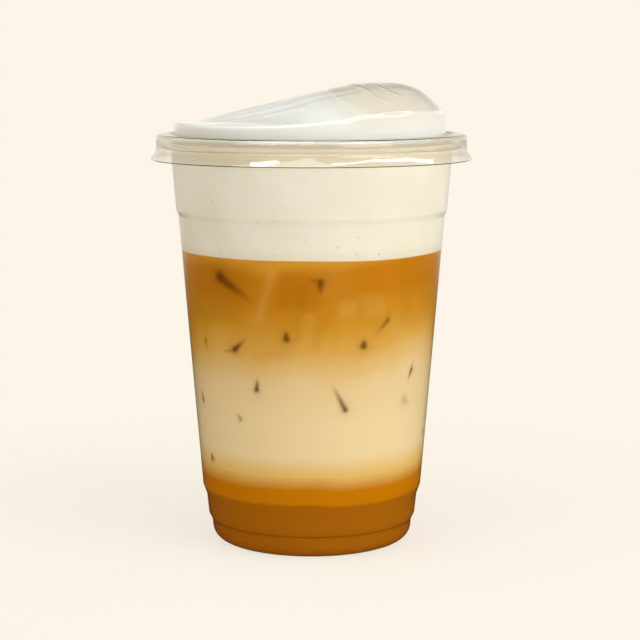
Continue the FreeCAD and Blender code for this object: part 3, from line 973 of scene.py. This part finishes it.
def drink_material():
    """The drink's colour by height, with drifting boundaries, ice faces showing through as painted light and
    shade, a painted dark line at the lowest step, and ice behind the wall.
    """
    material, graph = shader("layered drink")
    height = graph.rise() / MM
    loose = height.ramp(*SWIRL_IN) * (1 - height.ramp(*SWIRL_OUT)) + 0.25
    swirl = (graph.mottle(60.0, 3.0, (1, 1, 0.6)) - 0.5) * 4.0 + (graph.mottle(190.0, 2.0) - 0.5) * 1.8
    swirl = swirl + (graph.mottle(26.0, 2.0, (1, 1, 0.8)) - 0.5) * 8.0
    level = height - graph.stored("drift") + swirl * loose
    low = DRINK_COLOURS[0][0]
    span = COFFEE_TOP - low
    body = graph.add("ShaderNodeValToRGB", {"Fac": (level - low) / span},
                     stops=[((z - low) / span, colour) for z, colour in DRINK_COLOURS])
    # Painted light and shade: the facets lighten or darken the liquid where ice faces show through; the
    # noise is the liquid's own cloudiness.
    cloud_and_shading = (graph.mottle(38.0, 3.0, (1, 1, 0.4)) - 0.5) * 1.2 * height.ramp(*COFFEE_IN)
    cloud_and_shading = cloud_and_shading + graph.stored("facet") * 0.85
    body = graph.mix(cloud_and_shading.math("MAXIMUM", 0.0) * 0.24, body, MILKY_AND_LIT)
    body = graph.mix((0 - cloud_and_shading).math("MAXIMUM", 0.0) * 0.38, body, CLEARER_AND_SHADED)
    # Painted shade: a thin dark line where the lowest step of the wall bends the light.
    crease_shade = 1 - (height - CREASE_Z).math("ABSOLUTE").ramp(0.1, 0.5)
    body = graph.mix(crease_shade * 0.45, body, CREASE_SHADE)
    body = graph.mix(graph.stored("ice_stain"), body, ICE_MARK)
    return surfaced(material, graph, graph.coat(Base_Color=body, Roughness=0.6, Specular_IOR_Level=0.0))


def foam_material():
    """Fine foam: cream where the cup's wall stains it, cool white in the lid, painted shade round the neck
    under the rim, and painted grey shade near its free surface.
    """
    material, graph = shader("cream foam")
    height = graph.rise() / MM
    cream = graph.mix(graph.mottle(55.0, 3.0).ramp(0.35, 0.7), CREAM, DEEP_CREAM)
    edge = 1 - height.ramp(COFFEE_TOP, COFFEE_TOP + 4.0)
    cream = graph.mix(edge * 0.35, cream, COFFEE_CREAM)
    # Painted shade where the rim and the lid's skirt cover the foam.
    neck_shade = height.ramp(*NECK_IN) * (1 - height.ramp(*NECK_OUT))
    cream = graph.mix(neck_shade * 0.4, cream, NECK_SHADE)
    body = graph.mix(height.ramp(*LID_FOAM_IN), cream, LID_FOAM)
    # Painted grey shade near the foam's free surface in the spout.
    body = graph.mix(graph.stored("thin") * 0.6, body, FOAM_SHADE_GREY)
    pores = graph.add("ShaderNodeTexVoronoi", {"Vector": graph.place(), "Scale": 900.0})
    froth = graph.coat(Base_Color=body, Roughness=0.7, Specular_IOR_Level=0.0, Subsurface_Weight=0.15,
                       Subsurface_Radius=(1.0, 0.85, 0.6), Subsurface_Scale=0.003,
                       Normal=graph.bump(pores, 0.15, 0.0002))
    return surfaced(material, graph, froth)


def ice_material():
    """Ice in coffee: dark and glassy where it presses through to the wall."""
    material, graph = shader("ice in coffee")
    tone = graph.mix(graph.mottle(300.0), ICE_DARK, ICE_LIGHT)
    return surfaced(material, graph, graph.coat(Base_Color=tone, Roughness=0.3, Specular_IOR_Level=0.2))


def bubble_material():
    material, graph = shader("foam bubble")
    # Painted shade: each air pocket is greyer than the foam, for the shade in its hollow.
    tone = graph.mix(graph.mottle(400.0), BUBBLE_DARK, BUBBLE_LIGHT)
    return surfaced(material, graph, graph.coat(Base_Color=tone, Roughness=0.4, Specular_IOR_Level=0.1))


# ---- studio ---------------------------------------------------------------------------------

# Distances in metres from the cup's axis: over the first the shadow dies away, over the second the painted
# reflection of the floor in the plastic runs into the backdrop. Then the degrees over which the backdrop's
# light falls.
SHADOW_FADE, MIRROR_FADE, HORIZON = (0.08, 0.25), (0.35, 0.9), (5, 20)


def floor_material():
    """Pale matt paper: it takes a soft shadow near the cup and runs into the backdrop further out. To the
    plastic it shows a painted reflection, a glow that is dim and warm near the cup.
    """
    material, graph = shader("pale paper")
    path = graph.add("ShaderNodeLightPath")
    away = graph.add("ShaderNodeVectorMath", {0: graph.place()}, operation="LENGTH").out("Value")
    grain = graph.mix(graph.mottle(9.0, 4.0), PAPER, PAPER_GRAIN)
    lit = graph.coat(Base_Color=grain, Roughness=0.9, Specular_IOR_Level=0.0)
    own_light = 1 - SHADOW_SHARE * (1 - away.ramp(*SHADOW_FADE))
    top_up = (1 - (1 - own_light) * FLOOR_LIGHT) / own_light
    shown = graph.add("ShaderNodeEmission", {"Color": PAPER, "Strength": top_up})
    far = away.ramp(*MIRROR_FADE)
    # Painted reflection: reflection rays see this glow instead of the lit paper, dim and warm near the cup.
    reflected = path.out("Is Glossy Ray") * (1 - path.out("Is Transmission Ray"))
    mirrored = graph.add("ShaderNodeEmission", {
        "Color": graph.mix(far, UNDER_CUP_REFLECTION, PAPER), "Strength": 0.04 + 0.6 * far})
    paper = graph.add("ShaderNodeMixShader", {0: own_light * graph.seen(), 1: lit, 2: shown})
    paper = graph.add("ShaderNodeMixShader", {0: reflected, 1: paper, 2: mirrored})
    return surfaced(material, graph, paper)


# Soft lamps: azimuth, elevation, distance in metres, width, height, power in watts.
LAMPS = {"key": (44, 30, 1.1, 0.7, 0.7, 4.8),
         "window": (-46, 57, 0.9, 0.25, 0.09, 0.5),
         "top": (-40, 82, 0.9, 0.8, 0.8, 4.6)}
# Strips of light that the skirt mirrors to the camera: azimuth of the skirt and tilt of its wall in degrees
# where the strip's picture begins and where it ends, then the strip's width in metres and its power.
STRIPS = {"near strip": ((7, 1.5), (22, -1.2), 0.055, 0.5),
          "middle strip": ((22, -1.2), (35, -1.2), 0.075, 0.65),
          "far strip": ((35, -1.2), (47, 1.5), 0.06, 0.5)}
LAMP_TARGET, STRIP_AWAY = Vector((0, 0, 0.075)), 1.0
FLOOR_HALF, FLOOR_SIDES, FLOOR_DROP = 3000.0, 96, 0.02
CAMERA_AT, CAMERA_DIP, CAMERA_LENS = Vector((0.0027, -0.6217, 0.1581)), 7.94, 108.6
SKIRT_PLACE, SKIRT_LEAN = (50.6, 125.5), 31.7       # middle of the skirt's wall and its lean back
LAMP_TINT, AMBIENT_TINT = (0.96, 0.995, 1.04), (1.0, 0.945, 0.85, 1.0)
AMBIENT, MIRRORED = 0.25, 0.3
SHADOW_SHARE, FLOOR_LIGHT = 0.22, 1.02


def mirrored_from(azimuth, tilt):
    """Where a light stands that the skirt's wall, at this azimuth and tilt, mirrors to the camera."""
    turn, lean = math.radians(azimuth), math.radians(SKIRT_LEAN + tilt)
    outward, up = Vector((math.sin(turn), -math.cos(turn), 0)), Vector((0, 0, 1))
    place = (outward * SKIRT_PLACE[0] + up * SKIRT_PLACE[1]) * MM
    ray = (place - CAMERA_AT).normalized()
    return place + ray.reflect(outward * math.cos(lean) + up * math.sin(lean)) * STRIP_AWAY


def hang_lamp(name, place, width, height, power, run=None):
    """An area lamp facing the cup, level or with its width along a given direction."""
    lamp = bpy.data.lights.new(name, "AREA")
    lamp.shape, lamp.size, lamp.size_y, lamp.energy = "RECTANGLE", width, height, power
    lamp.color = LAMP_TINT
    holder = bpy.data.objects.new(name, lamp)
    holder.location = place
    level = (place - LAMP_TARGET).to_track_quat("Z", "Y").to_matrix()
    roll = math.atan2(run.dot(level.col[1]), run.dot(level.col[0])) if run else 0.0
    holder.rotation_euler = (level @ Matrix.Rotation(roll, 3, "Z")).to_euler()
    bpy.context.scene.collection.objects.link(holder)


def make_studio():
    """Floor, backdrop light, soft lamps and the camera."""
    ring = ring_row(round_turns(FLOOR_SIDES), FLOOR_HALF, -FLOOR_DROP)
    floor = add_piece("floor", ring, [tuple(range(FLOOR_SIDES))])
    floor.data.materials.append(floor_material())

    world = bpy.data.worlds.new("studio")
    world.use_nodes = True
    world.node_tree.nodes.clear()
    graph = Graph(world.node_tree)
    path = graph.add("ShaderNodeLightPath")
    band = 1 - graph.rise().ramp(*(math.sin(math.radians(degrees)) for degrees in HORIZON))
    above = AMBIENT - path.out("Is Glossy Ray") * (AMBIENT - MIRRORED)
    strength = graph.seen().math("MAXIMUM", band + (1 - band) * above)
    tone = graph.mix(path.out("Is Diffuse Ray"), PAPER, AMBIENT_TINT)
    backdrop = graph.add("ShaderNodeBackground", {"Color": tone, "Strength": strength})
    graph.add("ShaderNodeOutputWorld", {"Surface": backdrop})
    bpy.context.scene.world = world

    for name, (azimuth, elevation, away, width, height, power) in LAMPS.items():
        turn, up = math.radians(azimuth), math.radians(elevation)
        aim = Vector((math.sin(turn) * math.cos(up), -math.cos(turn) * math.cos(up), math.sin(up)))
        hang_lamp(name, LAMP_TARGET + aim * away, width, height, power)
    for name, (begin, end, width, power) in STRIPS.items():
        first, last = mirrored_from(*begin), mirrored_from(*end)
        hang_lamp(name, (first + last) / 2, (last - first).length, width, power, last - first)

    lens = bpy.data.cameras.new("camera")
    lens.lens, lens.sensor_width, lens.clip_start = CAMERA_LENS, 36.0, 0.01
    camera = bpy.data.objects.new("camera", lens)
    camera.location = CAMERA_AT
    camera.rotation_euler = (math.radians(90 - CAMERA_DIP), 0, 0)
    bpy.context.scene.collection.objects.link(camera)
    bpy.context.scene.camera = camera
    bpy.context.scene.view_settings.view_transform = "Standard"


# ---- the whole drink ------------------------------------------------------------------------

def build():
    """Every piece of the drink, each riding on the frame in place of its solid."""
    turning, scatter = turning_tree(), scatter_tree()
    drink = drink_material()
    cup = make_cup(clear_plastic("clear cup", *CUP_PLASTIC), turning)
    lid = make_lid(clear_plastic("clear lid", *LID_PLASTIC))
    base = make_layer("coffee_base", None, BASE_TOP, drink, turning)
    milk = make_layer("milk_layer", BASE_TOP, MILK_TOP, drink, turning)
    coffee = make_layer("coffee_layer", MILK_TOP, COFFEE_TOP, drink, turning)
    foam = make_foam(foam_material())
    for piece in (coffee, foam):
        stir_edge(piece, COFFEE_TOP)
    contacts = ice_contacts()
    ice = make_ice(contacts, ice_material(), scatter)
    for layer in (base, milk, coffee):
        paint_layer(layer, contacts)
    even_steps(base)
    bubbles = make_bubbles(bubble_material(), scatter)
    stands_for = ((cup, "cup", "cup_plastic"), (lid, "lid", "lid_plastic"),
                  (base, "drink_base", "amber_coffee"), (milk, "drink_milk", "milk"),
                  (coffee, "drink_coffee", "milky_coffee"), (foam, "foam", "cream_foam"),
                  (ice, None, "amber_coffee"), (bubbles, None, "cream_foam"))
    for piece, node, slot in stands_for:
        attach(piece, "root")
        if node:
            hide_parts(node)


build()
make_studio()
